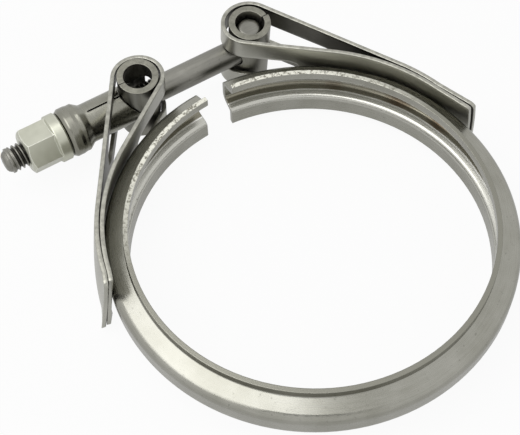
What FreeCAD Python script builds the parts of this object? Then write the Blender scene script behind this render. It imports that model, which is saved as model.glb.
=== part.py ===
"""V band clamp: a rolled V section ring pulled shut by a T bolt between two trunnions.

Frame: the origin is on the ring's axis, halfway up the band.  +Z is the ring's axis,
+Y points through the opening between the band's ends, and the bolt lies along X with
its nut at -X and its cross head at +X.
Every length is in millimetres and every angle in degrees.
"""
import FreeCAD, Part
import math
import os

from FreeCAD import Vector

# ---------------------------------------------------------------- driving sizes
# Band: one strip rolled into lip, upper flank, web, lower flank and skirt.
band_sheet = 1.4            # thickness of the rolled strip
lip_bore_radius = 51.0      # inside of the upper lip
v_depth = 7.45              # from there to the outside of the web, the band's widest circle
skirt_step = 1.3            # how much wider the lower skirt is inside than the lip
lip_top = 9.5               # height of the lip's cut edge
skirt_drop = 9.5            # depth of the skirt's cut edge
web_middle = 1.0            # height of the middle of the V
web_half_height = 3.4       # from there to where web and flank would meet
flank_angle = 20.3          # slope of both flanks
web_bend = 2.15             # bend radius at the web's corners, middle of the sheet
foot_bend = 1.0             # bend radius where the flanks meet lip and skirt
gap_half_angle = 4.75       # half of the opening between the band's ends
gap_offset = -0.65          # how far the opening's middle is turned from +Y

# Trunnions: rolled tubes that the straps wrap round.
head_trunnion_x = 21.3      # axis of the tube that holds the cross head
nut_trunnion_x = 17.6       # axis of the tube at the nut's side, towards -X
bolt_stand = 10.85          # from the outside of the web to the bolt's axis, along Y
trunnion_radius = 6.25      # outside of the rolled tube
trunnion_wall = 1.9         # thickness of the rolled tube
trunnion_length = 24.0      # height of the rolled tube
hole_room = 0.35            # room round the bolt in the tubes' cross holes
hole_rise = 2.6             # how far the nut side tube's hole reaches up above the bolt
trunnion_seam = 0.3         # open seam of the rolled tube
seam_step = 0.45            # how far one edge stands out at the bolt head's tube

# Straps: one strip each, folded round its trunnion and welded to the web.
strap_sheet = 1.25          # thickness of the strip
strap_width = 24.0          # width of the strip
strap_crown = 0.8           # how far the strip's long edges bend in towards the ring
clasp_lean = 6.0            # how far tubes and straps lean, their lower ends outwards
weld_seat = 0.45            # room between web and strap, halfway up the strap
layer_gap = 0.1             # seam between the strip's two layers
tail_splay = 0.5            # how far the outer tail leans away
tail_corner = 1.8           # rounded corners of the tail
crown_near = 0.15           # share of the crown where the near leg reaches the ring
crown_far = 0.3             # share of the crown where the outer leg reaches it
slot_room = 0.55            # room above and below what goes through the slot

# What differs between the two straps.
head_loop_play = 1.0        # room between tube and strap at the cross head
head_loop_shift = 0.3       # how far that loop stands off its tube, away from the ring
head_end_angle = 72.5       # where the welded part ends, from +Y
head_tail = 12.0            # length of its inner tail
head_tail_extra = 0.4       # how much longer its outer tail is
head_tail_lean = 0.5        # how far its inner tail leans away from the ring
head_tail_twist = 0.0       # how much more its tail leans than the rest of the strap
head_tail_flat = 0.0        # share of the crown that its tail's end has lost
head_near_slot = 18.0       # slot end on the leg nearest the ring, from the loop
head_far_slot = 28.0        # slot end on the outer leg, from the loop
nut_loop_play = 0.6         # the same sizes for the strap at the nut's side
nut_loop_shift = 0.0        # its loop lies centred on its tube
nut_end_angle = 76.0        # it hugs the ring almost to its end
nut_tail = 3.3              # length of its inner tail
nut_tail_extra = 1.1        # how much longer its outer tail is
nut_tail_lean = 0.0         # its tail is straight
nut_tail_twist = 2.5        # its lower end is bent outwards
nut_tail_flat = 1.0         # the end is flat
nut_near_slot = 17.5        # slot end on the leg nearest the ring, from the loop
nut_far_slot = 24.0         # slot end on the outer leg, which the sleeve passes through

# T bolt.
shank_radius = 3.97         # plain shank, 5/16 inch
thread_radius = 3.92        # outside of the threaded end
thread_start = 33.0         # from the head's axis to where the thread starts
bolt_length = 84.6          # from the head's axis to the tip
thread_run = 1.2            # slope from the plain shank down to the thread
tip_dome = 1.6              # height of the rounded tip
tip_flat = 2.15             # radius of the tip's flat end
tip_bend = 0.4              # rounding of the tip's corners
head_radius = 3.7           # cross head, a short round bar
head_length = 19.2          # length of the cross head
head_chamfer = 0.7          # broken edge at both ends of the cross head

# Nut: hexagon with a round collar that bears on the sleeve.
nut_flats = 12.7            # across the flats, 1/2 inch
nut_hex_length = 8.9        # length of the hexagon
nut_turn = 27.0             # how far a corner of the hexagon stands from +Z
collar_radius = 7.5         # round collar
collar_length = 3.9         # length of the collar
nut_play = 0.05             # radial room between nut and thread
nut_chamfer = 0.9           # depth of the chamfer on the hexagon's outer end
nut_chamfer_angle = 30.0    # its slope
nut_mouth = 0.5             # depth of the bore's chamfer at both ends
collar_edge = 0.5           # broken edge of the collar's bearing face
collar_groove = 0.35        # depth of the corner between hexagon and collar

# Sleeve: rolled tube with a bead, between the nut and the trunnion.
sleeve_length = 19.2        # from the trunnion's wall to the mouth
sleeve_radius = 6.1         # plain part
sleeve_wall = 1.8           # thickness
bead_radius = 7.75          # widest part of the bead
first_bulge = 4.15          # length of the bead's wide part, from the mouth
second_bulge = 3.25         # length of the low part behind it
rim_radius = 7.0            # mouth of the bead, against the nut
waist_radius = 7.55         # shallow waist between the two bulges of the bead
low_radius = 7.6            # low part of the bead
rim_edge = 0.5              # broken inner edge of the mouth
sleeve_seat = 0.3           # room between sleeve and trunnion
saddle_relief = 0.35        # how much wider the saddle is than the trunnion
nut_seat = 0.3              # room between nut and sleeve
sleeve_seam = 0.6           # open seam of the plain part
seam_start = 1.0            # plain part between bead and seam

section_step = 2.5          # spacing of the straps' sections along their curves
loop_step = 6.0             # spacing of the sections round a loop, degrees
past = 1.0                  # how far a cut runs on past the metal

web_radius = lip_bore_radius + v_depth
skirt_bore_radius = lip_bore_radius + skirt_step
bolt_reach = web_radius + bolt_stand

Z_AXIS = Vector(0, 0, 1)
X_AXIS = Vector(1, 0, 0)
HOME = Vector(0, 0, 0)


# ------------------------------------------------------------------- helpers
def unit(angle):
    """Unit vector at an angle from +X, in the plane of the ring."""
    return Vector(math.cos(math.radians(angle)), math.sin(math.radians(angle)), 0)


def rounded_wire(corners):
    """Closed wire through corners (x, y, z, radius), each rounded by a tangent arc."""
    count = len(corners)
    points = [Vector(x, y, z) for x, y, z, _ in corners]
    trims = []
    for i, here in enumerate(points):
        back = (points[i - 1] - here).normalize()
        ahead = (points[(i + 1) % count] - here).normalize()
        half = back.getAngle(ahead) / 2
        radius = corners[i][3]
        cut = radius / math.tan(half) if radius else 0.0
        middle = (back + ahead).normalize() * (radius / math.sin(half) - radius) if radius else HOME
        trims.append((here + back * cut, here + middle, here + ahead * cut, radius))
    edges = []
    for i, (start, middle, end, radius) in enumerate(trims):
        if radius:
            edges.append(Part.Arc(start, middle, end).toShape())
        following = trims[(i + 1) % count][0]
        if end.distanceToPoint(following) > 1e-6:
            edges.append(Part.LineSegment(end, following).toShape())
    return Part.Wire(edges)


def sheet_section(line, thickness):
    """Closed wire of a sheet whose middle follows line, a list of (x, z, bend radius)."""
    half = thickness / 2
    sides = []
    for side in (1, -1):
        shifted = []
        for i, (x, z, bend) in enumerate(line):
            here = Vector(x, 0, z)
            before = Vector(line[i - 1][0], 0, line[i - 1][1]) if i else None
            after = Vector(line[i + 1][0], 0, line[i + 1][1]) if i + 1 < len(line) else None
            first = (here - before).normalize() if before else (after - here).normalize()
            last = (after - here).normalize() if after else first
            normal_in = Vector(-first.z, 0, first.x) * side
            normal_out = Vector(-last.z, 0, last.x) * side
            middle = (normal_in + normal_out).normalize()
            place = here + middle * (half / middle.dot(normal_in))
            turn = first.cross(last).y * side
            radius = 0.0
            if bend:
                radius = bend + half if turn > 0 else bend - half
            shifted.append((place.x, 0, place.z, radius))
        sides.append(shifted)
    return rounded_wire(sides[0] + sides[1][::-1])


def turned(corners, start, direction):
    """Solid of revolution about the line through start: corners are (along, radius, round)."""
    wire = rounded_wire([(along, 0, out, bend) for along, out, bend in corners])
    solid = Part.Face(wire).revolve(HOME, X_AXIS, 360)
    if direction < 0:
        solid = solid.mirror(HOME, X_AXIS)
    solid.translate(start)
    return solid


def bar(start, direction, radius, length):
    """Plain cylinder."""
    return Part.makeCylinder(radius, length, start, direction)


def keep(shape, name):
    """Write one piece to its STEP file."""
    solid = shape.Solids[0] if len(shape.Solids) == 1 else shape
    assert solid.isValid(), name
    solid.exportStep("parts/" + name + ".step")
    print(name, len(shape.Solids), "solid", round(shape.Volume, 1), "mm3")


# ---------------------------------------------------------------------- band
def make_band():
    """The V ring, open at +Y."""
    half = band_sheet / 2
    slope = math.tan(math.radians(flank_angle))
    web = web_radius - half
    lip = lip_bore_radius + half
    skirt = skirt_bore_radius + half
    upper = web_middle + web_half_height
    lower = web_middle - web_half_height
    line = [
        (lip, lip_top, 0),
        (lip, upper + (web - lip) * slope, foot_bend),
        (web, upper, web_bend),
        (web, lower, web_bend),
        (skirt, lower - (web - skirt) * slope, foot_bend),
        (skirt, -skirt_drop, 0),
    ]
    face = Part.Face(sheet_section(line, band_sheet))
    ring = face.revolve(HOME, Z_AXIS, 360 - 2 * gap_half_angle)
    ring.rotate(HOME, Z_AXIS, 90 + gap_offset + gap_half_angle)
    return ring


# -------------------------------------------------------------------- straps
def strip_wire(middle, normal, lean_way, crown, twist=0.0):
    """Section of a strap across its width.

    middle lies halfway through the sheet, normal points at the trunnion's side of it,
    lean_way is the direction that the top edge leans to, crown is how far both long
    edges bend along the normal, and twist is extra lean in degrees.
    """
    half_width = strap_width / 2
    lean = math.radians(clasp_lean + twist)
    rise = Z_AXIS * (half_width * math.cos(lean)) + lean_way * (half_width * math.sin(lean))
    curves = []
    for side in (0.5, -0.5):
        face = middle + normal * (strap_sheet * side)
        low = face - rise + normal * crown
        high = face + rise + normal * crown
        curve = Part.BezierCurve()
        curve.setPoles([low, face - normal * crown, high])
        curves.append((curve.toShape(), low, high))
    (near_edge, near_low, near_high), (far_edge, far_low, far_high) = curves
    top = Part.LineSegment(near_high, far_high).toShape()
    bottom = Part.LineSegment(far_low, near_low).toShape()
    return Part.Wire([near_edge, top, far_edge, bottom])


def spread(first, last, spacing):
    """Evenly spaced shares from 0 to 1 for a run of the given ends, without its start."""
    count = max(1, round(abs(last - first) / spacing))
    return [(i + 1) / count for i in range(count)]


def layer_wires(radius, facing, tangent_angle, crown_share, end_angle, tail_way, tail_length, twist, flat):
    """Sections of one welded layer, from its free end to where it leaves the ring.

    twist and flat grow evenly along the tail: twist is in degrees of extra lean per
    millimetre, and flat is the share of the crown lost per millimetre.
    """
    wires = []
    out = unit(end_angle)
    full = -strap_crown * facing
    for share in spread(0, tail_length, section_step)[::-1]:
        along = tail_length * share
        place = out * radius + tail_way * along
        wires.append(strip_wire(place, out * facing, -out, full * (1 - flat * along), twist * along))
    wires.append(strip_wire(out * radius, out * facing, -out, full))
    sweep = math.radians(tangent_angle - end_angle)
    for share in spread(0, sweep * radius, section_step):
        out = unit(end_angle + (tangent_angle - end_angle) * share)
        crown = full * (1 + (crown_share - 1) * share)
        wires.append(strip_wire(out * radius, out * facing, -out, crown))
    return wires


def leg_wires(foot, top, out, facing, crown_share):
    """Sections of one straight leg between the ring and the loop, without its ends."""
    wires = []
    length = (top - foot).Length
    for share in spread(0, length, section_step)[:-1]:
        lean_way = -(out * (1 - share) + Vector(0, 1, 0) * share)
        crown = -strap_crown * facing * crown_share * (1 - share)
        wires.append(strip_wire(foot + (top - foot) * share, out * facing, lean_way, crown))
    return wires


def slot_cutter(reach, half_slot, depth):
    """Long hole with a round end, along +X from the loop, through +Y."""
    straight = reach - half_slot
    block = Part.makeBox(straight + depth, depth, 2 * half_slot)
    block.translate(Vector(-depth, 0, -half_slot))
    return block.fuse(bar(Vector(straight, 0, 0), Vector(0, 1, 0), half_slot, depth))


def corner_cutter(length):
    """What is cut away to round both corners of an end that lies length along +X."""
    depth = 8 * strap_sheet
    edge = strap_width / 2 * math.cos(math.radians(clasp_lean))
    corner = Vector(length - tail_corner, -depth / 2, edge - tail_corner)
    block = Part.makeBox(2 * tail_corner, depth, 2 * tail_corner, corner)
    block = block.cut(bar(corner, Vector(0, 1, 0), tail_corner, depth))
    return block.fuse(block.mirror(HOME, Z_AXIS))


def make_strap(trunnion_x, play, shift, end_from_gap, tail, near, far):
    """Strap at +X.

    tail is (length, extra length of the outer layer, lean away from the ring, twist, how
    flat its end is), and near and far are (slot end, slot half height) of the two legs.
    """
    tail_length, tail_extra, tail_lean, end_twist, end_flat = tail
    twist = end_twist / tail_length
    flat = end_flat / tail_length
    centre = Vector(trunnion_x, bolt_reach + shift, 0)
    distance = centre.Length
    bearing = math.degrees(math.atan2(centre.y, centre.x))
    loop_radius = trunnion_radius + play + strap_sheet / 2
    inner_layer = web_radius + weld_seat + strap_sheet / 2
    outer_layer = inner_layer + strap_sheet + layer_gap
    end_angle = 90 - end_from_gap

    near_angle = bearing - math.degrees(math.acos((inner_layer + loop_radius) / distance))
    far_angle = bearing - math.degrees(math.acos((outer_layer - loop_radius) / distance))
    near_out = unit(near_angle)
    far_out = unit(far_angle)
    near_tail = unit(end_angle - 90 + tail_lean)
    far_tail = unit(end_angle - 90 + tail_lean + tail_splay)
    far_length = tail_length + tail_extra

    # One strip: near layer, near leg, loop round the trunnion, outer leg, outer layer.
    wires = layer_wires(inner_layer, 1, near_angle, crown_near, end_angle, near_tail, tail_length,
                        twist, flat)
    wires += leg_wires(near_out * inner_layer, centre - near_out * loop_radius, near_out, 1, crown_near)
    turn = far_angle - near_angle - 180
    for share in [0] + spread(0, turn, loop_step):
        spoke = unit(near_angle + 180 + turn * share)
        wires.append(strip_wire(centre + spoke * loop_radius, -spoke, Vector(0, -1, 0), 0))
    outer_leg = leg_wires(far_out * outer_layer, centre + far_out * loop_radius, far_out, -1, crown_far)
    wires += outer_leg[::-1]
    outer = layer_wires(outer_layer, -1, far_angle, crown_far, end_angle, far_tail, far_length, twist, flat)
    wires += outer[::-1]
    strap = Part.makeLoft(wires, True, True)

    # Long hole for the bolt, round the loop and down both legs.
    depth = loop_radius + strap_sheet + past
    near_cut = slot_cutter(near[0], near[1], depth)
    near_cut = near_cut.mirror(HOME, Vector(0, 1, 0))
    near_cut.rotate(HOME, Z_AXIS, near_angle - 90)
    near_cut.translate(centre)
    far_cut = slot_cutter(far[0], far[1], depth)
    far_cut.rotate(HOME, Z_AXIS, far_angle - 90)
    far_cut.translate(centre)
    loop_cut = bar(centre - Z_AXIS * near[1], Z_AXIS, depth, 2 * near[1])

    corners = corner_cutter(far_length)
    corners.rotate(HOME, Z_AXIS, end_angle - 90 + tail_lean)
    corners.translate(unit(end_angle) * outer_layer)
    return strap.cut(near_cut.fuse([far_cut, loop_cut])).cut(corners)


# ----------------------------------------------------------------- trunnions
def rolled_tube(step):
    """Tube rolled from a strip, axis at the origin, seam facing +X."""
    outer = trunnion_radius
    inner = trunnion_radius - trunnion_wall
    shift = step / 2
    seam_angle = trunnion_seam / outer / 2

    def half_ring(radius, centre_x, upper):
        sign = 1 if upper else -1
        middle = Vector(centre_x, sign * radius, 0)
        start = Vector(centre_x + radius * math.cos(seam_angle), sign * radius * math.sin(seam_angle), 0)
        end = Vector(centre_x - radius, 0, 0)
        return start, middle, end

    edges = []
    corners = []
    for upper, centre_x, growth in ((True, 0.0, 0.0), (False, shift, shift)):
        for radius in (outer, inner):
            start, middle, end = half_ring(radius + growth, centre_x, upper)
            edges.append(Part.Arc(start, middle, end).toShape())
            corners.append(start)
    edges.append(Part.LineSegment(corners[0], corners[1]).toShape())
    edges.append(Part.LineSegment(corners[2], corners[3]).toShape())
    wire = Part.Wire(Part.__sortEdges__(edges))
    tube = Part.Face(wire).extrude(Z_AXIS * trunnion_length)
    tube.translate(Z_AXIS * (-trunnion_length / 2))
    return tube


def make_trunnion(side, place, step, through):
    """Trunnion at x = place, its seam away from the gap and its cross hole along X."""
    tube = rolled_tube(step)
    reach = 2 * trunnion_radius
    hole = bar(Vector(-reach, 0, 0), X_AXIS, shank_radius + hole_room, 2 * reach if through else reach)
    tube = tube.cut(hole)
    if through:
        tube = tube.cut(hole.translated(Z_AXIS * hole_rise))
        tube = tube.cut(Part.makeBox(2 * reach, 2 * (shank_radius + hole_room), hole_rise,
                                     Vector(-reach, -shank_radius - hole_room, 0)))
    if side < 0:
        tube = tube.mirror(HOME, X_AXIS)
    tube.rotate(HOME, X_AXIS, clasp_lean)
    tube.translate(Vector(side * place, bolt_reach, 0))
    return tube


# -------------------------------------------------------------------- T bolt
def make_bolt():
    """Shank and cross head, one forging.  The head is at +X and the thread at -X."""
    head_at = Vector(head_trunnion_x, bolt_reach, 0)
    profile = [
        (0, 0, 0),
        (0, shank_radius, 0),
        (thread_start - thread_run, shank_radius, 0),
        (thread_start, thread_radius, 0),
        (bolt_length - tip_dome, thread_radius, tip_bend),
        (bolt_length, tip_flat, tip_bend),
        (bolt_length, 0, 0),
    ]
    shank = turned(profile, head_at, -1)
    head = bar(head_at - Z_AXIS * (head_length / 2), Z_AXIS, head_radius, head_length)
    rims = [edge for edge in head.Edges if len(edge.Vertexes) == 1]
    head = head.makeChamfer(head_chamfer, rims)
    head.rotate(head_at, X_AXIS, clasp_lean)
    return shank.fuse(head).removeSplitter()


# ----------------------------------------------------------------------- nut
def sleeve_mouth():
    """X of the sleeve's mouth, the end that faces the nut."""
    return -nut_trunnion_x - trunnion_radius - sleeve_seat - sleeve_length


def make_nut():
    """Hexagon and collar.  The bearing face looks towards +X."""
    corner = nut_flats / math.sqrt(3)
    length = collar_length + nut_hex_length
    points = []
    for i in range(7):
        angle = math.radians(90 + nut_turn + 60 * i)
        points.append(Vector(0, corner * math.cos(angle), corner * math.sin(angle)))
    hexagon = Part.Face(Part.makePolygon(points)).extrude(X_AXIS * length)
    slope = math.tan(math.radians(nut_chamfer_angle))
    ends = turned([
        (collar_length / 2, 0, 0),
        (collar_length / 2, corner + past, 0),
        (length - nut_chamfer - past * slope, corner + past, 0),
        (length, corner - nut_chamfer / slope, 0),
        (length, 0, 0),
    ], HOME, 1)
    collar = turned([
        (0, 0, 0),
        (0, collar_radius - collar_edge, 0),
        (collar_edge, collar_radius, 0),
        (collar_length - collar_edge, collar_radius, 0.3),
        (collar_length, collar_radius - collar_groove * 2, 0),
        (collar_length, 0, 0),
    ], HOME, 1)
    body = hexagon.common(ends).fuse(collar)
    bore = thread_radius + nut_play
    hole = turned([
        (-past, 0, 0),
        (-past, bore + nut_mouth + past, 0),
        (nut_mouth, bore, 0),
        (length - nut_mouth, bore, 0),
        (length + past, bore + nut_mouth + past, 0),
        (length + past, 0, 0),
    ], HOME, 1)
    body = body.cut(hole).removeSplitter().mirror(HOME, X_AXIS)
    body.translate(Vector(sleeve_mouth() - nut_seat, bolt_reach, 0))
    return body


# -------------------------------------------------------------------- sleeve
def make_sleeve():
    """Rolled tube with a bead at the nut and a saddle at the trunnion."""
    mouth = sleeve_mouth()
    length = sleeve_length + trunnion_radius
    inner = sleeve_radius - sleeve_wall
    bead_length = first_bulge + second_bulge
    profile = [
        (0, inner + rim_edge, 0),
        (0, rim_radius, 0.3),
        (first_bulge * 0.25, bead_radius, 0.8),
        (first_bulge * 0.75, bead_radius, 0.8),
        (first_bulge, waist_radius, 0.5),
        (first_bulge + second_bulge * 0.35, low_radius, 0.6),
        (bead_length, sleeve_radius, 1.0),
        (length, sleeve_radius, 0),
        (length, inner, 0),
        (rim_edge, inner, 0),
    ]
    sleeve = turned(profile, Vector(mouth, bolt_reach, 0), 1)
    saddle = trunnion_radius + saddle_relief
    touch = -nut_trunnion_x - trunnion_radius - sleeve_seat
    sleeve = sleeve.cut(bar(Vector(touch + saddle, bolt_reach, -trunnion_length), Z_AXIS, saddle,
                            2 * trunnion_length))
    sleeve = sleeve.cut(Part.makeBox(
        2 * saddle, 4 * saddle, 2 * trunnion_length,
        Vector(touch + saddle, bolt_reach - 2 * saddle, -trunnion_length)))
    seam = Part.makeBox(length, sleeve_seam, 2 * bead_radius)
    seam.translate(Vector(mouth + bead_length + seam_start, bolt_reach - sleeve_seam / 2, 0))
    sleeve = sleeve.cut(seam)
    sleeve.rotate(Vector(0, bolt_reach, 0), X_AXIS, clasp_lean)
    return sleeve


os.makedirs("parts", exist_ok=True)
bolt_slot = shank_radius + slot_room
sleeve_slot = sleeve_radius + slot_room
head_strap = make_strap(
    head_trunnion_x, head_loop_play, head_loop_shift, head_end_angle,
    (head_tail, head_tail_extra, head_tail_lean, head_tail_twist, head_tail_flat),
    (head_near_slot, bolt_slot), (head_far_slot, bolt_slot))
nut_strap = make_strap(
    nut_trunnion_x, nut_loop_play, nut_loop_shift, nut_end_angle,
    (nut_tail, nut_tail_extra, nut_tail_lean, nut_tail_twist, nut_tail_flat),
    (nut_near_slot, bolt_slot), (nut_far_slot, sleeve_slot))
keep(make_band(), "v_band")
keep(head_strap, "strap_head_side")
keep(nut_strap.mirror(HOME, X_AXIS), "strap_nut_side")
keep(make_trunnion(1, head_trunnion_x, seam_step, False), "trunnion_tube_head_side")
keep(make_trunnion(-1, nut_trunnion_x, 0.0, True), "trunnion_tube_nut_side")
keep(make_bolt(), "t_bolt")
keep(make_nut(), "flange_nut")
keep(make_sleeve(), "thrust_sleeve")
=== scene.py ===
# %% [markdown]
# # V band clamp
#
# A V band clamp squeezes two pipe flanges together.  A steel ring with a V shaped section
# sits over both rims, and a T bolt pulls its two ends towards each other.  The solids of
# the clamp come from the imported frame.  This notebook dresses them: it cuts a real thread
# on the bolt, folds smooth straps, brushes the steel and sets up a white studio.
#
# The tables below are in millimetres, and `MM` turns them into metres.

import math

import bmesh
import bpy
import numpy as np
from mathutils import Matrix, Vector


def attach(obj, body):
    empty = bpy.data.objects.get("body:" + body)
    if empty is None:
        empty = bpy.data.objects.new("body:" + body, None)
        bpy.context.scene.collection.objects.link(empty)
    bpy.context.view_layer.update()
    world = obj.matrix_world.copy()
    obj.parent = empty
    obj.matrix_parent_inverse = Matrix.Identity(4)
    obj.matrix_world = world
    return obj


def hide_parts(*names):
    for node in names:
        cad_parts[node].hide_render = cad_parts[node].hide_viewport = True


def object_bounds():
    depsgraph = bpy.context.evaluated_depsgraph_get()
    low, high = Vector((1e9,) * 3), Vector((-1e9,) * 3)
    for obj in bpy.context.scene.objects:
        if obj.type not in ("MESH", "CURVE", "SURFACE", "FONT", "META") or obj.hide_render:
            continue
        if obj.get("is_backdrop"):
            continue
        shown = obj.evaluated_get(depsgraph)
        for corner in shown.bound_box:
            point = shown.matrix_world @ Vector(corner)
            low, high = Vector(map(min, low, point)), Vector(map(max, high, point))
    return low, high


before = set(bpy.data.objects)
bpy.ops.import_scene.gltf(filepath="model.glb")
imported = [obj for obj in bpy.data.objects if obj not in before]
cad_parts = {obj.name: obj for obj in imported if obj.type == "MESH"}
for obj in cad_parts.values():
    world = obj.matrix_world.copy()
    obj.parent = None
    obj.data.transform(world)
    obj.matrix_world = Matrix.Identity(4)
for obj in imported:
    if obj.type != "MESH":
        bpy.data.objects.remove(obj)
CAD_LO, CAD_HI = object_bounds()
MM = 0.001
print("solids:", ", ".join(sorted(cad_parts)))

# %% [markdown]
# ## Sizes that the dressed pieces share with the solids
#
# A piece that replaces a solid has to lie where the solid lay, or the bolt would miss its
# tubes.  So the sizes are stated once, here, and every shape below reads them.

# %% Sizes
BOLT_Y = 69.3               # the bolt's axis, from the ring's axis
HEAD_X = 21.3               # axis of the tube that holds the cross head
NUT_X = 17.6                # axis of the tube at the nut's side, towards -X
TUBE_R = 6.25               # outside of both tubes
LEAN = math.radians(6.0)    # tubes, straps and cross head lean this much about the bolt
SLEEVE_R = 6.1              # outside of the thrust sleeve
WEB_R = 58.45               # outside of the ring's web
BOLT_ROOM = 0.55            # room round bolt and sleeve in the straps' long holes
print(f"bolt axis {BOLT_Y} mm from the ring's axis, web {WEB_R} mm")


# %% [markdown]
# ## From points to a mesh
#
# Blender can make shapes with modifiers or with operators.  Here each surface is worked
# out with numpy as a grid of points instead, because a formula can be read, checked and
# changed.  `mesh_object` joins points that meet, turns all faces outwards and marks the
# edges that should stay crisp.

# %% Mesh from points
WELD = 1e-6                 # points nearer than this, in metres, become one


def mesh_object(name, points, faces, smooth=True, sharp=30.0, slots=None):
    """Object from points in mm, with crisp edges where faces turn by more than `sharp` degrees."""
    mesh = bpy.data.meshes.new(name)
    mesh.from_pydata((np.asarray(points, float) * MM).tolist(), [], faces)
    if slots:
        mesh.polygons.foreach_set("material_index", slots)
    mesh.validate()
    made = bmesh.new()
    made.from_mesh(mesh)
    bmesh.ops.remove_doubles(made, verts=made.verts, dist=WELD)
    bmesh.ops.recalc_face_normals(made, faces=made.faces)
    made.to_mesh(mesh)
    made.free()
    mesh.polygons.foreach_set("use_smooth", [smooth] * len(mesh.polygons))
    mesh.set_sharp_from_angle(angle=math.radians(sharp))
    thing = bpy.data.objects.new(name, mesh)
    bpy.context.scene.collection.objects.link(thing)
    print(f"{name}: {len(mesh.vertices)} points, {len(mesh.polygons)} faces")
    return thing


# %% Grids of quads
def grid_quads(rows, columns):
    """Quads between neighbouring rows, closed round the columns: an array (rows - 1, columns, 4)."""
    i, j = np.meshgrid(np.arange(rows - 1), np.arange(columns), indexing="ij")
    k = (j + 1) % columns
    return np.stack([i * columns + j, i * columns + k, (i + 1) * columns + k, (i + 1) * columns + j], 2)


def closed_tube(rows, columns):
    """Faces of a tube of points: its quads, and one flat polygon on each end."""
    faces = grid_quads(rows, columns).reshape(-1, 4).tolist()
    ends = [list(range(columns - 1, -1, -1)), list(range((rows - 1) * columns, rows * columns))]
    return faces + ends


# %% Turned shapes
def turned_points(profile, around):
    """Surface of revolution about X.

    For a profile point (x, r) and an angle a, the point is (x, r cos a, r sin a).
    """
    angle = np.linspace(0, 2 * np.pi, around, endpoint=False)
    along, radius = np.array(profile, float).T
    x = np.repeat(along[:, None], around, 1)
    points = np.stack([x, radius[:, None] * np.cos(angle), radius[:, None] * np.sin(angle)], 2)
    return points.reshape(-1, 3)


# %% [markdown]
# ## The T bolt
#
# The bolt is a round shank with a cross bar as its head, so that it can swivel in its
# tube.  Its solid has a plain cylinder where the thread is, because a screw surface is
# slow to make and to check as a solid.  The thread is fine detail, so it is made here.
#
# A screw thread is one surface over two parameters.  At a distance x along the bolt and an
# angle a round it, the place within the tooth is x / pitch + a / 2 pi, of which only the
# part after the decimal point counts.  The radius is a crest with flat top, sloping
# flanks and a flat root, and it fades to the plain crest at both ends of the run.

# %% Thread
SHANK_R = 3.97
THREAD_R = 3.92
THREAD_START = 33.0         # from the head's axis
BOLT_LENGTH = 84.6
PITCH = 1.411               # 18 threads to the inch
THREAD_DEPTH = 0.86
RUN_OUT = 0.9               # turns over which the thread fades at its ends
CREST_FROM = 0.82           # from here on, of 1, a tooth is at its full height
FLANK = 0.64                # share of a tooth that its sloping flank takes


def thread_radius(x, angle, start, end):
    """r(x, a) = crest - depth * valley(phase) * fade(x).

    phase is the decimal part of x / pitch + a / 2 pi.  valley rises from 0 at the crest to
    1 at the root in a straight line, and fade falls to 0 at start and end.
    """
    phase = np.mod(x / PITCH + angle / (2 * np.pi), 1.0)
    tooth = np.abs(phase - 0.5) * 2
    valley = np.clip((CREST_FROM - tooth) / FLANK, 0, 1)
    reach = RUN_OUT * PITCH
    fade = np.clip((x - start) / reach, 0, 1) * np.clip((end - x) / reach, 0, 1)
    return THREAD_R - THREAD_DEPTH * valley * fade


# %% Shank and thread as one surface
BOLT_AROUND = 56            # points round the shank
TURN_ROWS = 14              # rows in one turn of the thread


def shank_surface():
    """Points and faces of shank, thread and rounded tip, laid along -X from the head."""
    plain = [(0.0, SHANK_R), (THREAD_START - 2.0, SHANK_R), (THREAD_START - 0.6, THREAD_R + 0.02)]
    tip = [(BOLT_LENGTH - 1.55, 3.5), (BOLT_LENGTH - 1.0, 3.25), (BOLT_LENGTH - 0.45, 2.85),
           (BOLT_LENGTH - 0.12, 2.3), (BOLT_LENGTH, 1.6)]
    run = np.arange(THREAD_START, BOLT_LENGTH - 1.6, PITCH / TURN_ROWS)
    angle = np.linspace(0, 2 * np.pi, BOLT_AROUND, endpoint=False)
    x, a = np.meshgrid(run, angle, indexing="ij")
    radius = thread_radius(x, a, THREAD_START, BOLT_LENGTH - 2.2)
    spun = np.stack([x, radius * np.cos(a), radius * np.sin(a)], 2).reshape(-1, 3)
    points = np.vstack([turned_points(plain, BOLT_AROUND), spun, turned_points(tip, BOLT_AROUND)])
    points[:, 0] = HEAD_X - points[:, 0]
    points[:, 1] += BOLT_Y
    return points, closed_tube(len(plain) + len(run) + len(tip), BOLT_AROUND)


# %% [markdown]
# The cross bar is turned about X like the shank, then stood up along Z and leaned.  Its
# ends are rounded in three steps, because forged bar has no knife edges.

# %% Cross head
HEAD_HALF = 9.6             # half the length of the cross bar
HEAD_AROUND = 64


def cross_head_surface():
    """Points and faces of a short round bar with broken edges, upright but for its lean."""
    start = [(-HEAD_HALF, 2.2), (-HEAD_HALF, 3.0), (-HEAD_HALF + 0.12, 3.18),
             (-HEAD_HALF + 0.7, 3.66), (-HEAD_HALF + 0.95, 3.7)]
    profile = start + [(-x, r) for x, r in start[::-1]]
    points = turned_points(profile, HEAD_AROUND)
    upright = np.stack([points[:, 1], points[:, 2], points[:, 0]], 1)
    upright = upright @ np.array(Matrix.Rotation(LEAN, 3, "X")).T
    return upright + (HEAD_X, BOLT_Y, 0), closed_tube(len(profile), HEAD_AROUND)


# %% [markdown]
# Bar and shank are forged in one, and they stay one object.

# %% Place the bolt
def join_surfaces(first, second):
    """One set of points and faces out of two."""
    (points, faces), (more, more_faces) = first, second
    moved = [[i + len(points) for i in face] for face in more_faces]
    return np.vstack([points, more]), faces + moved


bolt = mesh_object("t_bolt_threaded", *join_surfaces(shank_surface(), cross_head_surface()), sharp=40)
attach(bolt, "t_bolt_set")
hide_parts("t_bolt")

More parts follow.
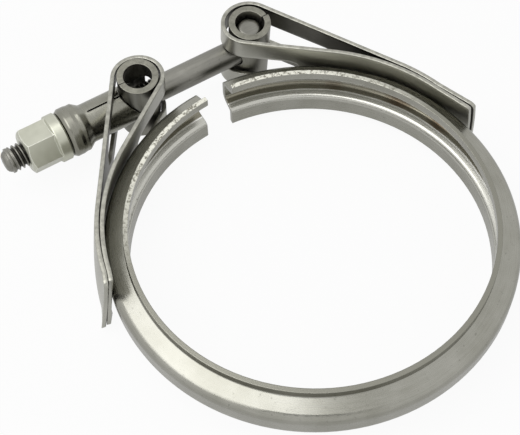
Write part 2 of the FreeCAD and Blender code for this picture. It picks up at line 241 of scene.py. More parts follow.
# %% [markdown]
# ## The straps
#
# Each strap is one strip of sheet.  It starts on the ring, leaves it in a straight leg,
# goes round its trunnion, comes back in a second leg and lies down on its own first
# layer, where both layers are welded to the ring's web.  A long hole lets the bolt swing.
#
# A strip could be a Solidify modifier on a thin sheet, but then its edges could not be
# broken and its hole could not end in a clean half circle.  So it is a profile carried
# along a path.  With u from -1 to 1 across the width and d from the middle of the sheet,
#
# p(u, d) = middle + d normal + u rise + u^2 crown normal
#
# where rise is half the width along the leaning Z axis, and crown bends both long edges.

# %% Strap sizes
SHEET = 1.25
STRAP_WIDTH = 24.0
CROWN = 0.8                 # how far the long edges bend in towards the ring
SEAT = 0.45                 # room between web and strap, halfway up the strap
LAYER_GAP = 0.1             # seam between the two layers
TAIL_CORNER = 1.8           # rounded corners of the tail
BREAK = 0.14                # broken edges of the sheet
NEAR_CROWN, FAR_CROWN = 0.15, 0.3       # share of the crown where each leg leaves the ring
FAR_FROM_END = 99.0         # a row so far from the tail that its corners aren't rounded
Y_AXIS = np.array([0.0, 1.0, 0.0])
Z_AXIS = np.array([0.0, 0.0, 1.0])


def unit(degrees):
    """Unit vectors in the XY plane at one angle, or at a whole array of angles."""
    a = np.radians(degrees)
    return np.stack([np.cos(a), np.sin(a), np.zeros_like(a)], -1)


# %% [markdown]
# The path is a table with one line for each section: its middle, its normal, the way it
# leans, its crown, its extra lean, half the hole's height and the distance from the tail.
# `section_table` fills it from whole arrays.
#
# A tail is given by its length, the extra length of the outer layer, the angles by which
# it leans off the ring, splays from the other layer and twists, and by how much of its
# crown is pressed flat at its end.

# %% One table for every part of the path
TAIL_ROWS = 22
ARC_STEP = 0.9              # distance between rows on the ring


def section_table(middle, normal, lean_way, crown=0.0, extra_lean=0.0, hole=0.0, from_end=FAR_FROM_END):
    """Array (rows, 13) with the values of each section side by side."""
    rows = len(middle)

    def column(value):
        return np.broadcast_to(np.asarray(value, float), (rows,))[:, None]

    def vectors(value):
        return np.broadcast_to(value, (rows, 3))

    return np.hstack([vectors(middle), vectors(normal), vectors(lean_way), column(crown),
                      column(extra_lean), column(hole), column(from_end)])


def welded_layer(radius, facing, end, leaves, crown_there, tail, length, way):
    """Tail and arc that lie on the ring, from the free end to where the leg leaves.

    The tail is straight: middle = out * radius + way * along.  The arc is a circle of the
    same radius from the angle `end` to the angle `leaves`, and its crown changes evenly.
    """
    along = np.concatenate([[length, length - BREAK], np.linspace(length - 0.3, 0.0, TAIL_ROWS)])
    out = unit(end)
    full = -CROWN * facing
    straight = section_table(
        out * radius + way * along[:, None], out * facing, -out,
        full * (1 - tail["flat"] / tail["length"] * along),
        np.radians(tail["twist"] / tail["length"] * along),
        from_end=tail["length"] + tail["extra"] - along)
    steps = max(2, round(abs(math.radians(leaves - end)) * radius / ARC_STEP))
    share = (np.arange(steps) + 1) / steps
    out = unit(end + (leaves - end) * share)
    arc = section_table(out * radius, out * facing, -out, full * (1 + (crown_there - 1) * share))
    return np.vstack([straight, arc])


# %% [markdown]
# The long hole ends in a half circle.  Its half height at a distance x from the loop is
# the full half height up to the circle's centre, and the circle's own height beyond it.
# Rows stand closer together there, so that the curve stays round.

# %% Legs and loop
ROW_GAP = 1.2               # distance between rows on a leg
LOOP_STEP = 3               # degrees between rows round the trunnion
ROUND_MARKS = np.sin(np.radians(np.arange(0, 91, 9)))


def hole_height(x, reach, half):
    """h(x) = half for x < reach - half, else sqrt(half^2 - (x - reach + half)^2)."""
    into = np.maximum(x - (reach - half), 0.0)
    return np.sqrt(np.maximum(half * half - into * into, 0.0))


def straight_leg(centre, loop, radius, angle, facing, crown_there, hole):
    """Leg from the ring to the loop: middle = foot + (top - foot) * share."""
    out = unit(angle)
    foot = out * radius
    top = centre - out * loop * facing
    length = np.linalg.norm(top - foot)
    reach, half = hole
    marks = reach - half + half * ROUND_MARKS
    even = np.arange(ROW_GAP, length - 0.5, ROW_GAP)
    clear = np.abs(even[:, None] - marks).min(1) > 0.3
    x = np.sort(np.concatenate([marks, even[clear]]))[::-1]
    share = 1 - x / length
    lean_way = -(out * (1 - share)[:, None] + Y_AXIS * share[:, None])
    return section_table(foot + (top - foot) * share[:, None], out * facing, lean_way,
                         -CROWN * facing * crown_there * (1 - share), hole=hole_height(x, reach, half))


def round_loop(centre, loop, near_angle, far_angle, near_half, far_half):
    """Circle round the trunnion: middle = centre + spoke * loop, in even steps."""
    turn = far_angle - near_angle - 180
    steps = round(abs(turn) / LOOP_STEP)
    share = np.arange(steps + 1) / steps
    spoke = unit(near_angle + 180 + turn * share)
    half = near_half + (far_half - near_half) * (3 * share ** 2 - 2 * share ** 3)
    return section_table(centre + spoke * loop, -spoke, -Y_AXIS, hole=half)


# %% [markdown]
# The legs are tangents of two circles, the ring's layer and the loop.  Where a tangent
# touches follows from the distance of the centres: cos(angle) = (sum or difference of the
# radii) / distance.

# %% Whole path of a strap
def strap_path(tube_x, play, shift, end_from_gap, tail, near_hole, far_hole):
    """Table of sections from the inner tail, round the loop, to the outer tail."""
    centre = np.array([tube_x, BOLT_Y + shift, 0.0])
    span = np.linalg.norm(centre)
    bearing = math.degrees(math.atan2(centre[1], centre[0]))
    loop = TUBE_R + play + SHEET / 2
    inner = WEB_R + SEAT + SHEET / 2
    outer = inner + SHEET + LAYER_GAP
    end = 90 - end_from_gap
    near = bearing - math.degrees(math.acos((inner + loop) / span))
    far = bearing - math.degrees(math.acos((outer - loop) / span))
    inner_way = unit(end - 90 + tail["lean"])
    outer_way = unit(end - 90 + (tail["lean"] + tail["splay"]))
    first = welded_layer(inner, 1, end, near, NEAR_CROWN, tail, tail["length"], inner_way)
    last = welded_layer(outer, -1, end, far, FAR_CROWN, tail, tail["length"] + tail["extra"], outer_way)
    return np.vstack([
        first,
        straight_leg(centre, loop, inner, near, 1, NEAR_CROWN, near_hole),
        round_loop(centre, loop, near, far, near_hole[1], far_hole[1]),
        straight_leg(centre, loop, outer, far, -1, FAR_CROWN, far_hole)[::-1],
        last[::-1],
    ])


# %% [markdown]
# The hole parts the strip into an upper and a lower half.  A section of one half is a
# closed line: outer face, broken outer edge, inner face, and the wall of the hole.  Where
# there is no hole its wall has no height, so its faces are left out and both halves are
# welded along the middle.  Faces that look at the trunnion go to the second material slot.

# %% Section of a strap
ACROSS = 9                  # points across one face of a half
BEND = 0.3                  # how round a broken edge is
OPENING = 0.6               # half height from which the hole's edges are fully broken
COLUMNS = 2 * ACROSS + 8
INNER_FACE = slice(ACROSS + 4, 2 * ACROSS + 3)
HOLE_WALL = slice(2 * ACROSS + 3, COLUMNS)
TOP_Z = STRAP_WIDTH / 2 * math.cos(LEAN)
EDGE = BREAK / TOP_Z


def section_lines(hole, from_end):
    """Arrays u and d (rows, COLUMNS) of the closed line of one half, for every row."""
    cut = np.maximum(TAIL_CORNER - from_end, 0.0)
    thin = np.zeros(len(hole))
    thin[[0, -1]] = BREAK
    top = 1.0 - (TAIL_CORNER - np.sqrt(np.maximum(TAIL_CORNER ** 2 - cut * cut, 0.0))) / TOP_Z
    top = (top - thin / TOP_Z)[:, None]
    h = (SHEET / 2 - thin)[:, None]
    low = (hole / TOP_Z)[:, None]
    open_share = np.minimum(1.0, hole / OPENING)[:, None]
    low_edge, low_break = EDGE * open_share, BREAK * open_share
    across = low + low_edge + (top - EDGE - low - low_edge) * np.linspace(0, 1, ACROSS)
    face = h * np.ones(ACROSS)
    u = np.hstack([across, top - EDGE * BEND, top, top, top - EDGE * BEND, across[:, ::-1],
                   low + low_edge * BEND, low, low, low + low_edge * BEND])
    d = np.hstack([-face, -h + BREAK * BEND, -h + BREAK, h - BREAK, h - BREAK * BEND, face,
                   h - low_break * BEND, h - low_break, -h + low_break, -h + low_break * BEND])
    return u, d


def strap_half(table, side):
    """Points, faces and slots of the half above (side 1) or below (side -1) the hole."""
    middle, normal, lean_way = table[:, None, 0:3], table[:, None, 3:6], table[:, None, 6:9]
    crown, extra_lean, hole, from_end = table[:, 9:].T
    lean = (LEAN + extra_lean)[:, None, None]
    half_width = STRAP_WIDTH / 2
    rise = Z_AXIS * (half_width * np.cos(lean)) + lean_way * (half_width * np.sin(lean))
    u, d = (line[:, :, None] for line in section_lines(hole, from_end))
    points = middle + normal * d + rise * (u * side) + normal * (crown[:, None, None] * u * u)

    rows = len(table)
    quads = grid_quads(rows, COLUMNS)
    kept = np.ones(quads.shape[:2], bool)
    kept[:, HOLE_WALL] = ((hole[:-1] > 0) | (hole[1:] > 0))[:, None]
    slots = np.zeros(quads.shape[:2], int)
    slots[:, INNER_FACE] = 1
    ends = [list(range(COLUMNS)), list(range((rows - 1) * COLUMNS, rows * COLUMNS))]
    return points.reshape(-1, 3), quads[kept].tolist() + ends, slots[kept].tolist() + [0, 0]


# %% Both straps
def make_strap(name, node, mirror, path):
    """Strap object in place of the solid `node`, mirrored in X for the nut's side."""
    upper = strap_half(path, 1)
    lower = strap_half(path, -1)
    points, faces = join_surfaces(upper[:2], lower[:2])
    points = points * ((-1, 1, 1) if mirror else (1, 1, 1))
    strap = mesh_object(name, points, faces, sharp=28, slots=upper[2] + lower[2])
    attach(strap, "clamp_band")
    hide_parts(node)
    return strap


BOLT_SLOT = SHANK_R + BOLT_ROOM
SLEEVE_SLOT = SLEEVE_R + BOLT_ROOM
head_tail = {"length": 12.0, "extra": 0.4, "lean": 0.5, "twist": 0.0, "flat": 0.0, "splay": 1.7}
nut_tail = {"length": 3.3, "extra": 1.1, "lean": 0.0, "twist": 2.5, "flat": 1.0, "splay": 1.2}
straps = [
    make_strap("strap_head_dressed", "strap_head_side", False,
               strap_path(HEAD_X, 1.0, 0.3, 72.5, head_tail, (18.0, BOLT_SLOT), (28.0, BOLT_SLOT))),
    make_strap("strap_nut_dressed", "strap_nut_side", True,
               strap_path(NUT_X, 0.6, 0.0, 76.0, nut_tail, (17.5, BOLT_SLOT), (24.0, SLEEVE_SLOT))),
]

# %% [markdown]
# ## Nodes in few words
#
# A material is a small network of nodes.  Adding each node by hand takes four lines, so
# the class below wraps the few kinds that steel needs: sums, ramps, mixes and noise.

# %% Node helpers
class Nodes:
    """Adds and links nodes in one tree.  Numbers and colours may stand in for links."""

    def __init__(self, tree):
        self.tree = tree

    def add(self, kind, **settings):
        node = self.tree.nodes.new(kind)
        for key, value in settings.items():
            setattr(node, key, value)
        return node

    def link(self, out, into):
        self.tree.links.new(out, into)

    def feed(self, socket, value):
        if isinstance(value, tuple):
            socket.default_value = (*value, 1.0)
        elif isinstance(value, (int, float)):
            socket.default_value = value
        else:
            self.link(value, socket)

    def math(self, operation, a, b=None, clamp=False):
        node = self.add("ShaderNodeMath", operation=operation, use_clamp=clamp)
        self.feed(node.inputs[0], a)
        if b is not None:
            self.feed(node.inputs[1], b)
        return node.outputs[0]

    def ramp(self, value, low, high, to_low=0.0, to_high=1.0):
        """Straight line from low to high, held level beyond both."""
        node = self.add("ShaderNodeMapRange", clamp=True)
        for socket, number in zip(node.inputs, (value, low, high, to_low, to_high)):
            self.feed(socket, number)
        return node.outputs[0]

    def mix(self, factor, a, b):
        """a (1 - factor) + b factor"""
        node = self.add("ShaderNodeMix", data_type="RGBA")
        for socket, value in ((node.inputs[0], factor), (node.inputs[6], a), (node.inputs[7], b)):
            self.feed(socket, value)
        return node.outputs[2]

    def noise(self, vector, scale, detail=3.0, rough=0.5):
        node = self.add("ShaderNodeTexNoise")
        self.link(vector, node.inputs["Vector"])
        node.inputs["Scale"].default_value = scale
        node.inputs["Detail"].default_value = detail
        node.inputs["Roughness"].default_value = rough
        return node.outputs["Fac"]

    def split(self, vector):
        node = self.add("ShaderNodeSeparateXYZ")
        self.link(vector, node.inputs[0])
        return node.outputs

    def combine(self, *values):
        node = self.add("ShaderNodeCombineXYZ")
        for socket, value in zip(node.inputs, values):
            self.feed(socket, value)
        return node.outputs[0]

    def length(self, a, b):
        """sqrt(a^2 + b^2)"""
        return self.math("SQRT", self.math("ADD", self.math("MULTIPLY", a, a), self.math("MULTIPLY", b, b)))

    def place(self, name, **inputs):
        """Put a node group in, with values or links for its inputs."""
        node = self.add("ShaderNodeGroup", node_tree=bpy.data.node_groups[name])
        for title, value in inputs.items():
            self.feed(node.inputs[title], value)
        return node.outputs


# %% [markdown]
# ## Effects that several metals share
#
# An effect that more than one metal uses is built once, as a node group, and each metal
# places it with its own values.  A group puts out masks and values, never a shader.

# %% New node group
FLOAT, VECTOR = "NodeSocketFloat", "NodeSocketVector"


def group(name, inputs, outputs):
    """Empty node group with named sockets: inputs (name, type, default), outputs (name, type)."""
    tree = bpy.data.node_groups.new(name, "ShaderNodeTree")
    for title, kind, value in inputs:
        socket = tree.interface.new_socket(title, in_out="INPUT", socket_type=kind)
        if value is not None:
            socket.default_value = value
    for title, kind in outputs:
        tree.interface.new_socket(title, in_out="OUTPUT", socket_type=kind)
    nodes = Nodes(tree)
    print("node group:", name)
    return nodes, nodes.add("NodeGroupInput").outputs, nodes.add("NodeGroupOutput").inputs


# %% [markdown]
# `ring_place` tells where a point is on the ring.  Angle is in radians, radius and height
# are in millimetres.  `bolt_reach` is the distance from the bolt's axis in millimetres.

# %% Places on ring and bolt
PER_M = 1000.0              # millimetres in a metre

n, given, result = group("ring_place", [("Position", VECTOR, None)],
                         [("Angle", FLOAT), ("Radius", FLOAT), ("Height", FLOAT)])
x, y, z = n.split(given["Position"])
n.link(n.math("ARCTAN2", y, x), result["Angle"])
n.link(n.math("MULTIPLY", n.length(x, y), PER_M), result["Radius"])
n.link(n.math("MULTIPLY", z, PER_M), result["Height"])

n, given, result = group("bolt_reach", [("Position", VECTOR, None)], [("Radius", FLOAT)])
x, y, z = n.split(given["Position"])
n.link(n.math("MULTIPLY", n.length(n.math("SUBTRACT", y, BOLT_Y * MM), z), PER_M), result["Radius"])

# %% [markdown]
# Rolling and brushing leave fine lines round the ring.  `ring_grain` samples noise at
# (radius, height, angle), stretched so that the pattern changes fast across the lines and
# slowly along them.  Its second output is a broad cloud, for steel that isn't quite even.

# %% Lines round the ring
LINE_STRETCH = 9.0          # how fast the pattern changes along the lines

n, given, result = group("ring_grain", [("Position", VECTOR, None), ("Fineness", FLOAT, 9.0)],
                         [("Lines", FLOAT), ("Cloud", FLOAT)])
angle, radius, height = n.place("ring_place", Position=given["Position"])
swept = n.combine(n.math("MULTIPLY", radius, given["Fineness"]),
                  n.math("MULTIPLY", height, given["Fineness"]),
                  n.math("MULTIPLY", angle, LINE_STRETCH))
n.link(n.noise(swept, 1.0, 3.0, 0.6), result["Lines"])
n.link(n.noise(given["Position"], 70.0, 3.0, 0.55), result["Cloud"])

# %% [markdown]
# Corners of handled steel are polished, and the paler tone laid on them is also a painted highlight.  The
# Bevel node gives the normal that a rounded corner would have, and where it turns away from the flat normal
# there is an edge.

# %% Worn edges, with a painted highlight
n, given, result = group("edge_wear_and_highlight", [("Radius", FLOAT, 0.0003)], [("Edge", FLOAT), ("Normal", VECTOR)])
bevel = n.add("ShaderNodeBevel", samples=6)
n.link(given["Radius"], bevel.inputs["Radius"])
flat = n.add("ShaderNodeNewGeometry")
agree = n.add("ShaderNodeVectorMath", operation="DOT_PRODUCT")
n.link(bevel.outputs[0], agree.inputs[0])
n.link(flat.outputs["Normal"], agree.inputs[1])
n.link(n.ramp(agree.outputs["Value"], 0.985, 0.90), result["Edge"])
n.link(bevel.outputs[0], result["Normal"])

# %% [markdown]
# Sheet that was sheared or sawn is paler on the cut.  Nearly all cuts here look along Z,
# so `cut_face` reads the piece's own normal.  `heat_stain` is a ragged spot on the ring.

# %% Cut faces and heat stains
n, given, result = group("cut_face", [], [("Mask", FLOAT)])
normal = n.add("ShaderNodeTexCoord").outputs["Normal"]
n.link(n.ramp(n.math("ABSOLUTE", n.split(normal)[2]), 0.90, 0.97), result["Mask"])

STAIN_R = 57.0              # radius that turns an angle into millimetres
n, given, result = group("heat_stain", [("Position", VECTOR, None), ("Angle", FLOAT, 0.0),
                                        ("Height", FLOAT, 0.0), ("Size", FLOAT, 3.0)], [("Mask", FLOAT)])
angle, radius, height = n.place("ring_place", Position=given["Position"])
along = n.math("MULTIPLY", n.math("SUBTRACT", angle, given["Angle"]), STAIN_R)
up = n.math("MULTIPLY", n.math("SUBTRACT", height, given["Height"]), 1.3)
ragged = n.math("ADD", n.math("DIVIDE", n.length(along, up), given["Size"]),
                n.ramp(n.noise(given["Position"], 500.0, 3.0, 0.6), 0.2, 0.8, -0.3, 0.3))
n.link(n.ramp(ragged, 1.3, 0.1), result["Mask"])


# %% [markdown]
# ## Metals
#
# Bare steel has hardly any colour of its own, so a metal here is two greys mixed by its
# grain, with a roughness that follows the same grain.  Cut faces, and worn edges painted paler as a
# highlight, are laid over them.  A painted picture could give the same look, but it would need a layout of
# its own for every piece, and it would blur when seen close up.

# %% A metal from its finish
SPECK_TONE = 0.35           # how dark a speck is, as a share of the dark grey
CUT_DARK, CUT_LIGHT = 0.72, 1.22        # how uneven a cut face is, as shares of its tone


def metal(name, dark, light, rough, along=None, fineness=2.0, contrast=0.35, bump=0.02,
          edge=0.0003, wear_and_highlight_tone=None, edge_share=0.6, cut_tone=None, specks=0.0):
    """Steel with a grain.

    along is the stretch (x, y, z) of the grain, or None for lines round the ring.
    Returns material, nodes, the shader's inputs, the socket with the tone, and the position.
    """
    material = bpy.data.materials.new(name)
    material.use_nodes = True
    n = Nodes(material.node_tree)
    shader = material.node_tree.nodes["Principled BSDF"].inputs
    where = n.add("ShaderNodeTexCoord").outputs["Object"]
    if along is None:
        lines, cloud = n.place("ring_grain", Position=where, Fineness=fineness)
    else:
        stretch = n.add("ShaderNodeMapping")
        n.link(where, stretch.inputs["Vector"])
        stretch.inputs["Scale"].default_value = along
        lines = n.noise(stretch.outputs[0], fineness * PER_M, 3.0, 0.6)
        cloud = n.noise(where, 90.0, 3.0, 0.55)
    share = n.math("ADD", n.math("MULTIPLY", n.ramp(lines, 0.3, 0.7), contrast),
                   n.math("MULTIPLY", n.ramp(cloud, 0.3, 0.7), 1 - contrast))
    tone = n.mix(share, dark, light)
    if specks:
        dots = n.ramp(n.noise(where, 900.0, 4.0, 0.65), 0.62, 0.74, 0.0, specks)
        tone = n.mix(dots, tone, tuple(c * SPECK_TONE for c in dark))
    if cut_tone:
        uneven = n.ramp(n.noise(where, 650.0, 3.0, 0.6), 0.3, 0.7)
        sawn = n.mix(uneven, tuple(c * CUT_DARK for c in cut_tone),
                     tuple(min(c * CUT_LIGHT, 1.0) for c in cut_tone))
        tone = n.mix(n.place("cut_face")["Mask"], tone, sawn)
    worn_and_lit_edge, soft_normal = n.place("edge_wear_and_highlight", Radius=edge)
    # The paler edge tone is worn steel and a painted highlight.
    if wear_and_highlight_tone:
        tone = n.mix(n.math("MULTIPLY", worn_and_lit_edge, edge_share), tone, wear_and_highlight_tone)
    n.link(tone, shader["Base Color"])
    shader["Metallic"].default_value = 1.0
    n.link(n.ramp(lines, 0.25, 0.75, rough - 0.05, rough + 0.06), shader["Roughness"])
    tilt = n.add("ShaderNodeBump")
    tilt.inputs["Strength"].default_value = bump
    tilt.inputs["Distance"].default_value = 0.0002
    n.link(lines, tilt.inputs["Height"])
    n.link(soft_normal, tilt.inputs["Normal"])
    n.link(tilt.outputs[0], shader["Normal"])
    print("metal:", name)
    return material, n, shader, tone, where


# %% [markdown]
# The straps are satin outside, and their faces at the trunnion are painted darker, as painted shade.  The
# tubes are rolled from strip whose lines run along them, and the sleeve's lines run round it.  The
# nut has a pale, dull plating, and its corners are painted bright as a highlight.  One call of `metal` is
# enough for each, because only its numbers differ.

# %% Straps, tubes, sleeve and nut
strap_steel = metal("strap_steel", (0.33, 0.326, 0.288), (0.46, 0.456, 0.408), 0.33, fineness=4.0,
                    contrast=0.4, bump=0.04, specks=0.3, cut_tone=(0.37, 0.365, 0.32))[0]
# Painted shade: a darker copy of the strap steel for the faces at the trunnion.
strap_painted_shade = metal("strap_painted_shade", (0.10, 0.096, 0.082), (0.19, 0.185, 0.162), 0.38, fineness=4.0,
                    contrast=0.4, bump=0.04, cut_tone=(0.40, 0.395, 0.345))[0]
tube_steel = metal("tube_steel", (0.18, 0.176, 0.15), (0.29, 0.285, 0.25), 0.36, along=(1, 1, 0.06),
                   contrast=0.4, wear_and_highlight_tone=(0.38, 0.37, 0.32), cut_tone=(0.23, 0.226, 0.19))[0]
sleeve_steel = metal("sleeve_steel", (0.20, 0.197, 0.165), (0.31, 0.306, 0.265), 0.26,
                     along=(1, 0.25, 0.25), fineness=0.8, contrast=0.3, wear_and_highlight_tone=(0.55, 0.54, 0.48))[0]
# The near white tone on the nut's corners is a painted highlight.
nut_zinc = metal("nut_zinc", (0.47, 0.475, 0.395), (0.56, 0.565, 0.48), 0.33, along=(1, 1, 1),
                 fineness=0.5, contrast=0.2, edge=0.00022, wear_and_highlight_tone=(0.96, 0.96, 0.90), edge_share=1.0)[0]

# %% [markdown]
# The bolt is satin steel with small dark specks.  The valleys of its thread are painted
# darker: the mask is 1 near the root radius, and only along the threaded run.

# %% Bolt
VALLEY_DARK = (0.035, 0.033, 0.028)
PLAIN_R, DARK_R = 3.75, 3.1            # mm from the bolt's axis
RUN_BEGINS = (-0.0110, -0.0125)         # X in metres, from plain to fully dark
RUN_ENDS = (-0.0622, -0.0612)
VALLEY_DEPTH = 0.9

bolt_steel, n, shader, tone, where = metal(
    "bolt_steel", (0.16, 0.157, 0.14), (0.28, 0.275, 0.245), 0.34, along=(0.06, 1, 1), specks=0.5,
    wear_and_highlight_tone=(0.45, 0.44, 0.40))
x = n.split(where)[0]
on_run = n.math("MULTIPLY", n.ramp(x, *RUN_BEGINS), n.ramp(x, *RUN_ENDS))
from_axis = n.place("bolt_reach", Position=where)["Radius"]
# Painted darker towards the root of the thread.
valley = n.math("MULTIPLY", n.ramp(from_axis, PLAIN_R, DARK_R), on_run)
n.link(n.mix(n.math("MULTIPLY", valley, VALLEY_DEPTH), tone, VALLEY_DARK), shader["Base Color"])

# %% [markdown]
# The ring is brushed all round.  Its upper edge was sheared, which leaves a burr with
# dark pits, most of all beside the bolt.  There the edge is also painted pale, as a painted highlight.

# %% Ring: steel, sheared edge and painted highlight
PIT, BURR_AND_HIGHLIGHT, CALM_EDGE = (0.24, 0.23, 0.19), (0.80, 0.79, 0.70), (0.25, 0.246, 0.21)
LIP_TOP = (9.25, 9.45)      # height in mm, from flank to sheared edge
HIGHLIGHT_FROM = (0.012, 0.045)  # Y in metres, from calm to the burr with its painted highlight

band_steel, n, shader, tone, where = metal("band_steel", (0.25, 0.246, 0.21), (0.37, 0.366, 0.33), 0.27,
                                           fineness=5.0, bump=0.05, specks=0.5)
angle, radius, height = n.place("ring_place", Position=where)
# The pale tone is a burr with pits and, on the far side, a painted highlight.
burr_and_highlight = n.mix(n.ramp(n.noise(where, 1000.0, 3.0, 0.7), 0.40, 0.52), PIT, BURR_AND_HIGHLIGHT)
lip_edge_and_highlight = n.mix(n.ramp(n.split(where)[1], *HIGHLIGHT_FROM), CALM_EDGE, burr_and_highlight)
tone = n.mix(n.ramp(height, *LIP_TOP), tone, lip_edge_and_highlight)

# %% [markdown]
# Inside the V the steel is dull and olive near the web.  The rest of the lower flank is painted
# bright, as a painted reflection of the soft box, with a thin painted highlight line between the two.
# The line wavers a little.

# %% Ring: olive groove and painted highlights
OLIVE, FLANK_HIGHLIGHT, CREASE_HIGHLIGHT = (0.235, 0.222, 0.175), (0.52, 0.515, 0.47), (0.95, 0.945, 0.91)
OLIVE_R, FLANK_HIGHLIGHT_R = (54.75, 55.0), (54.75, 54.3)        # mm, from nothing to full
CREASE_HIGHLIGHT_IN, CREASE_HIGHLIGHT_OUT = (54.45, 54.75), (55.1, 54.8)

faces_up = n.split(n.add("ShaderNodeTexCoord").outputs["Normal"])[2]
in_groove = n.math("MULTIPLY", n.ramp(height, -0.6, -1.4), n.ramp(faces_up, 0.15, 0.4))
wavy = n.math("ADD", radius, n.ramp(n.noise(where, 60.0, 2.0, 0.5), 0.3, 0.7, -0.12, 0.12))
crease_highlight = n.math("MULTIPLY", n.ramp(wavy, *CREASE_HIGHLIGHT_IN), n.ramp(wavy, *CREASE_HIGHLIGHT_OUT))
# Painted highlights: the bright flank and the thin light line stand in for the soft box's reflection; the
# olive is the steel's own tint.
for mask, tint_and_highlight in ((n.ramp(wavy, *OLIVE_R), OLIVE), (n.ramp(wavy, *FLANK_HIGHLIGHT_R), FLANK_HIGHLIGHT),
                     (crease_highlight, CREASE_HIGHLIGHT)):
    tone = n.mix(n.math("MULTIPLY", in_groove, mask), tone, tint_and_highlight)

# %% [markdown]
# Three spot welds hold the strap on the other side of the sheet at the bolt head's end,
# and each has browned the steel inside.

# %% Ring: heat stains
STAIN = (0.11, 0.075, 0.045)
WEB_SIDE = (54.7, 55.1)     # mm, the stains fade in towards the web
SPOT_WELDS = [              # angle in degrees, height and size in mm, depth of the colour
    (49.5, -2.8, 3.0, 0.6),
    (28.5, -2.8, 4.8, 0.8),
    (14.0, -2.6, 4.0, 0.85),
]
near_web = n.ramp(wavy, *WEB_SIDE)
for angle, height, size, depth in SPOT_WELDS:
    mark = n.place("heat_stain", Position=where, Angle=math.radians(angle), Height=height, Size=size)
    share = n.math("MULTIPLY", n.math("MULTIPLY", mark["Mask"], near_web), depth)
    tone = n.mix(share, tone, STAIN)
n.link(tone, shader["Base Color"])

# %% [markdown]
# Each solid has a slot of its own from the frame.  It is emptied and given one metal.
# The straps get two, satin for the outside and painted shade for the faces at the trunnion.

# %% Hand out the metals
for node, material in (("v_band", band_steel), ("strap_head_side", strap_steel),
                       ("strap_nut_side", strap_steel), ("trunnion_tube_head_side", tube_steel),
                       ("trunnion_tube_nut_side", tube_steel), ("thrust_sleeve", sleeve_steel),
                       ("flange_nut", nut_zinc)):
    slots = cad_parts[node].data.materials
    slots.clear()
    slots.append(material)
    print(node, "is", material.name)
bolt.data.materials.append(bolt_steel)
for strap in straps:
    strap.data.materials.append(strap_steel)
    strap.data.materials.append(strap_painted_shade)

# %% [markdown]
# ## Studio
#
# Steel shows what stands around it, so the studio matters as much as the metal.  Floor and
# world look white to the camera and to mirror rays, which are told apart with the Light
# Path node.  To all other rays they are plain, so that the light on the clamp stays even
# and the floor keeps its soft shadow.

# %% Floor
FLOOR_DROP = 0.05           # room under the clamp, mm
FLOOR_HALF = 3000.0
SEEN_WHITE, MIRRORED_WHITE, THROUGH_WHITE = 0.94, 0.60, 0.88    # plain white to each kind of ray

floor_z = CAD_LO[2] / MM - FLOOR_DROP
corners = [(-1, -1), (1, -1), (1, 1), (-1, 1)]
floor = mesh_object("studio_floor", [(sx * FLOOR_HALF, sy * FLOOR_HALF, floor_z) for sx, sy in corners],
                    [(0, 1, 2, 3)], smooth=False)
floor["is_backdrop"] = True


def plain_paint(name, grey):
    """Matt paint of one grey, and its nodes."""
    paint = bpy.data.materials.new(name)
    paint.use_nodes = True
    inputs = paint.node_tree.nodes["Principled BSDF"].inputs
    inputs["Base Color"].default_value = (grey, grey, grey, 1)
    inputs["Roughness"].default_value = 0.9
    return paint, Nodes(paint.node_tree)


floor_paint, n = plain_paint("studio_floor", 0.80)
matt = floor_paint.node_tree.nodes["Principled BSDF"]
matt.inputs["Specular IOR Level"].default_value = 0.0
glow = n.add("ShaderNodeEmission")
rays = n.add("ShaderNodeLightPath").outputs
seen = n.math("ADD", n.math("MULTIPLY", rays["Is Camera Ray"], SEEN_WHITE),
              n.math("MULTIPLY", rays["Is Glossy Ray"], MIRRORED_WHITE))
seen = n.math("ADD", seen, n.math("MULTIPLY", rays["Is Transmission Ray"], THROUGH_WHITE), clamp=True)
blend = n.add("ShaderNodeMixShader")
for socket, out in zip(blend.inputs, (seen, matt.outputs[0], glow.outputs[0])):
    n.link(out, socket)
n.link(blend.outputs[0], floor_paint.node_tree.nodes["Material Output"].inputs["Surface"])
floor.data.materials.append(floor_paint)

# %% World
ROOM_LIGHT = 0.42           # strength for rays that light the clamp
world = bpy.data.worlds.new("studio_world")
bpy.context.scene.world = world
world.use_nodes = True
n = Nodes(world.node_tree)
sky = world.node_tree.nodes["Background"].inputs
sky["Color"].default_value = (1, 1, 1, 1)
rays = n.add("ShaderNodeLightPath").outputs
white = n.math("MAXIMUM", rays["Is Camera Ray"], rays["Is Glossy Ray"])
white = n.math("MAXIMUM", white, rays["Is Transmission Ray"])
n.link(n.ramp(white, 0.0, 1.0, ROOM_LIGHT, 1.0), sky["Strength"])
print(f"world: {ROOM_LIGHT} of white lights the clamp")


# %% [markdown]
# One large soft box hangs high on the left.  The ring's shoulder slopes by 20 degrees, so
# it mirrors the soft box as a broad bright band, and level faces do not.  A small lamp
# would leave a hard spark instead of a band.

# %% Soft box
def studio_way(azimuth, elevation):
    """Unit vector from the ring's centre.  Azimuth 0 is -Y, in degrees.

    v = (sin a cos e, -cos a cos e, sin e)
    """
    a, e = math.radians(azimuth), math.radians(elevation)
    return Vector((math.sin(a) * math.cos(e), -math.cos(a) * math.cos(e), math.sin(e)))


def aim_at_centre(thing, way, distance):
    """Put a thing at a distance in metres along `way`, with its back to it."""
    thing.location = way * distance
    thing.rotation_mode = "QUATERNION"
    thing.rotation_quaternion = way.to_track_quat("Z", "Y")


BOX_SIDE, BOX_AWAY, BOX_WATTS = 0.80, 0.9, 4.4          # the first two in metres
lamp = bpy.data.lights.new("top_light", "AREA")
lamp.shape = "RECTANGLE"
lamp.size = lamp.size_y = BOX_SIDE
lamp.energy = BOX_WATTS
top_light = bpy.data.objects.new("top_light", lamp)
aim_at_centre(top_light, studio_way(-112.0, 66.0), BOX_AWAY)
bpy.context.scene.collection.objects.link(top_light)
print(f"soft box: {BOX_SIDE} m wide, {BOX_AWAY} m away, {BOX_WATTS} W")

# %% [markdown]
# A black card stands behind the camera, as it does in a real studio: polished bends that
# face it turn dark.

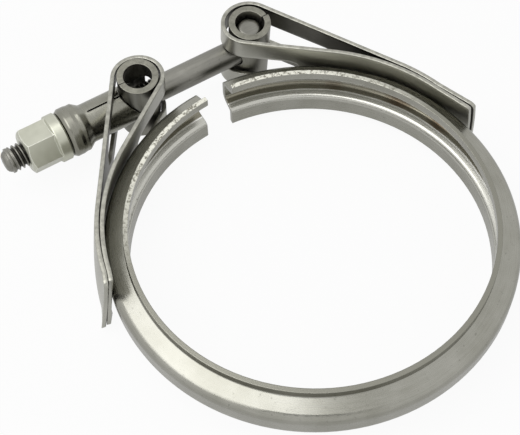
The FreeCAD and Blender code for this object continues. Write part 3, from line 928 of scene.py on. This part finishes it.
# %% Black card
CAMERA_TURN = -35.3         # degrees round the ring, where the camera stands
CARD_WIDE, CARD_HIGH = 110.0, 50.0      # halves of the card
CARD_AWAY = 0.50
card = mesh_object("black_card", [(sx * CARD_WIDE, sy * CARD_HIGH, 0) for sx, sy in corners],
                   [(0, 1, 2, 3)], smooth=False)
aim_at_centre(card, studio_way(CAMERA_TURN, 51.0), CARD_AWAY)
card.visible_camera = False
card.visible_shadow = False
card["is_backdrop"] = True
card.data.materials.append(plain_paint("black_card", 0.02)[0])

# %% [markdown]
# ## Camera
#
# The camera stands to the left and high up, 33 cm away.  It is turned a little about its
# own axis and panned, so that the bolt fits in beside the ring.  A constraint could aim
# it, but two angles and a distance can be read and changed one at a time.

# %% Camera
roll, pan, tilt = (math.radians(a) for a in (-2.62, 2.521, 0.022))
target = Vector((0, 0, 9.5)) * MM
distance = 327.25 * MM
azimuth = math.radians(CAMERA_TURN)
back = studio_way(CAMERA_TURN, 57.93)
right = Vector((math.cos(azimuth), math.sin(azimuth), 0))
up = back.cross(right)
aim = Vector((math.tan(pan), -math.tan(tilt), -1)).normalized()
turn = Vector((0, 0, -1)).rotation_difference(aim).to_matrix()
axes = turn @ Matrix.Rotation(roll, 3, "Z") @ Matrix((right, up, back))
lens = bpy.data.cameras.new("camera")
lens.sensor_width = 36.0
lens.lens = 81.87
lens.clip_start = 0.01
lens.clip_end = 20.0
camera = bpy.data.objects.new("camera", lens)
camera.matrix_world = Matrix.Translation(target + back * distance) @ axes.transposed().to_4x4()
bpy.context.scene.collection.objects.link(camera)
bpy.context.scene.camera = camera
print(f"camera: {distance / MM:.0f} mm away, {lens.lens} mm lens")

# %% [markdown]
# ## Finish
#
# Standard keeps colours as they are written.  How far the dressed clamp grows past the
# solids is printed, to see that dressing hasn't made it grow.

# %% Finish
scene = bpy.context.scene
scene.view_settings.view_transform = "Standard"
lo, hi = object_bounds()
grown = [(max(0, CAD_LO[i] - lo[i]) + max(0, hi[i] - CAD_HI[i])) / MM for i in range(3)]
print("grown by", [round(g, 2) for g in grown], "mm")
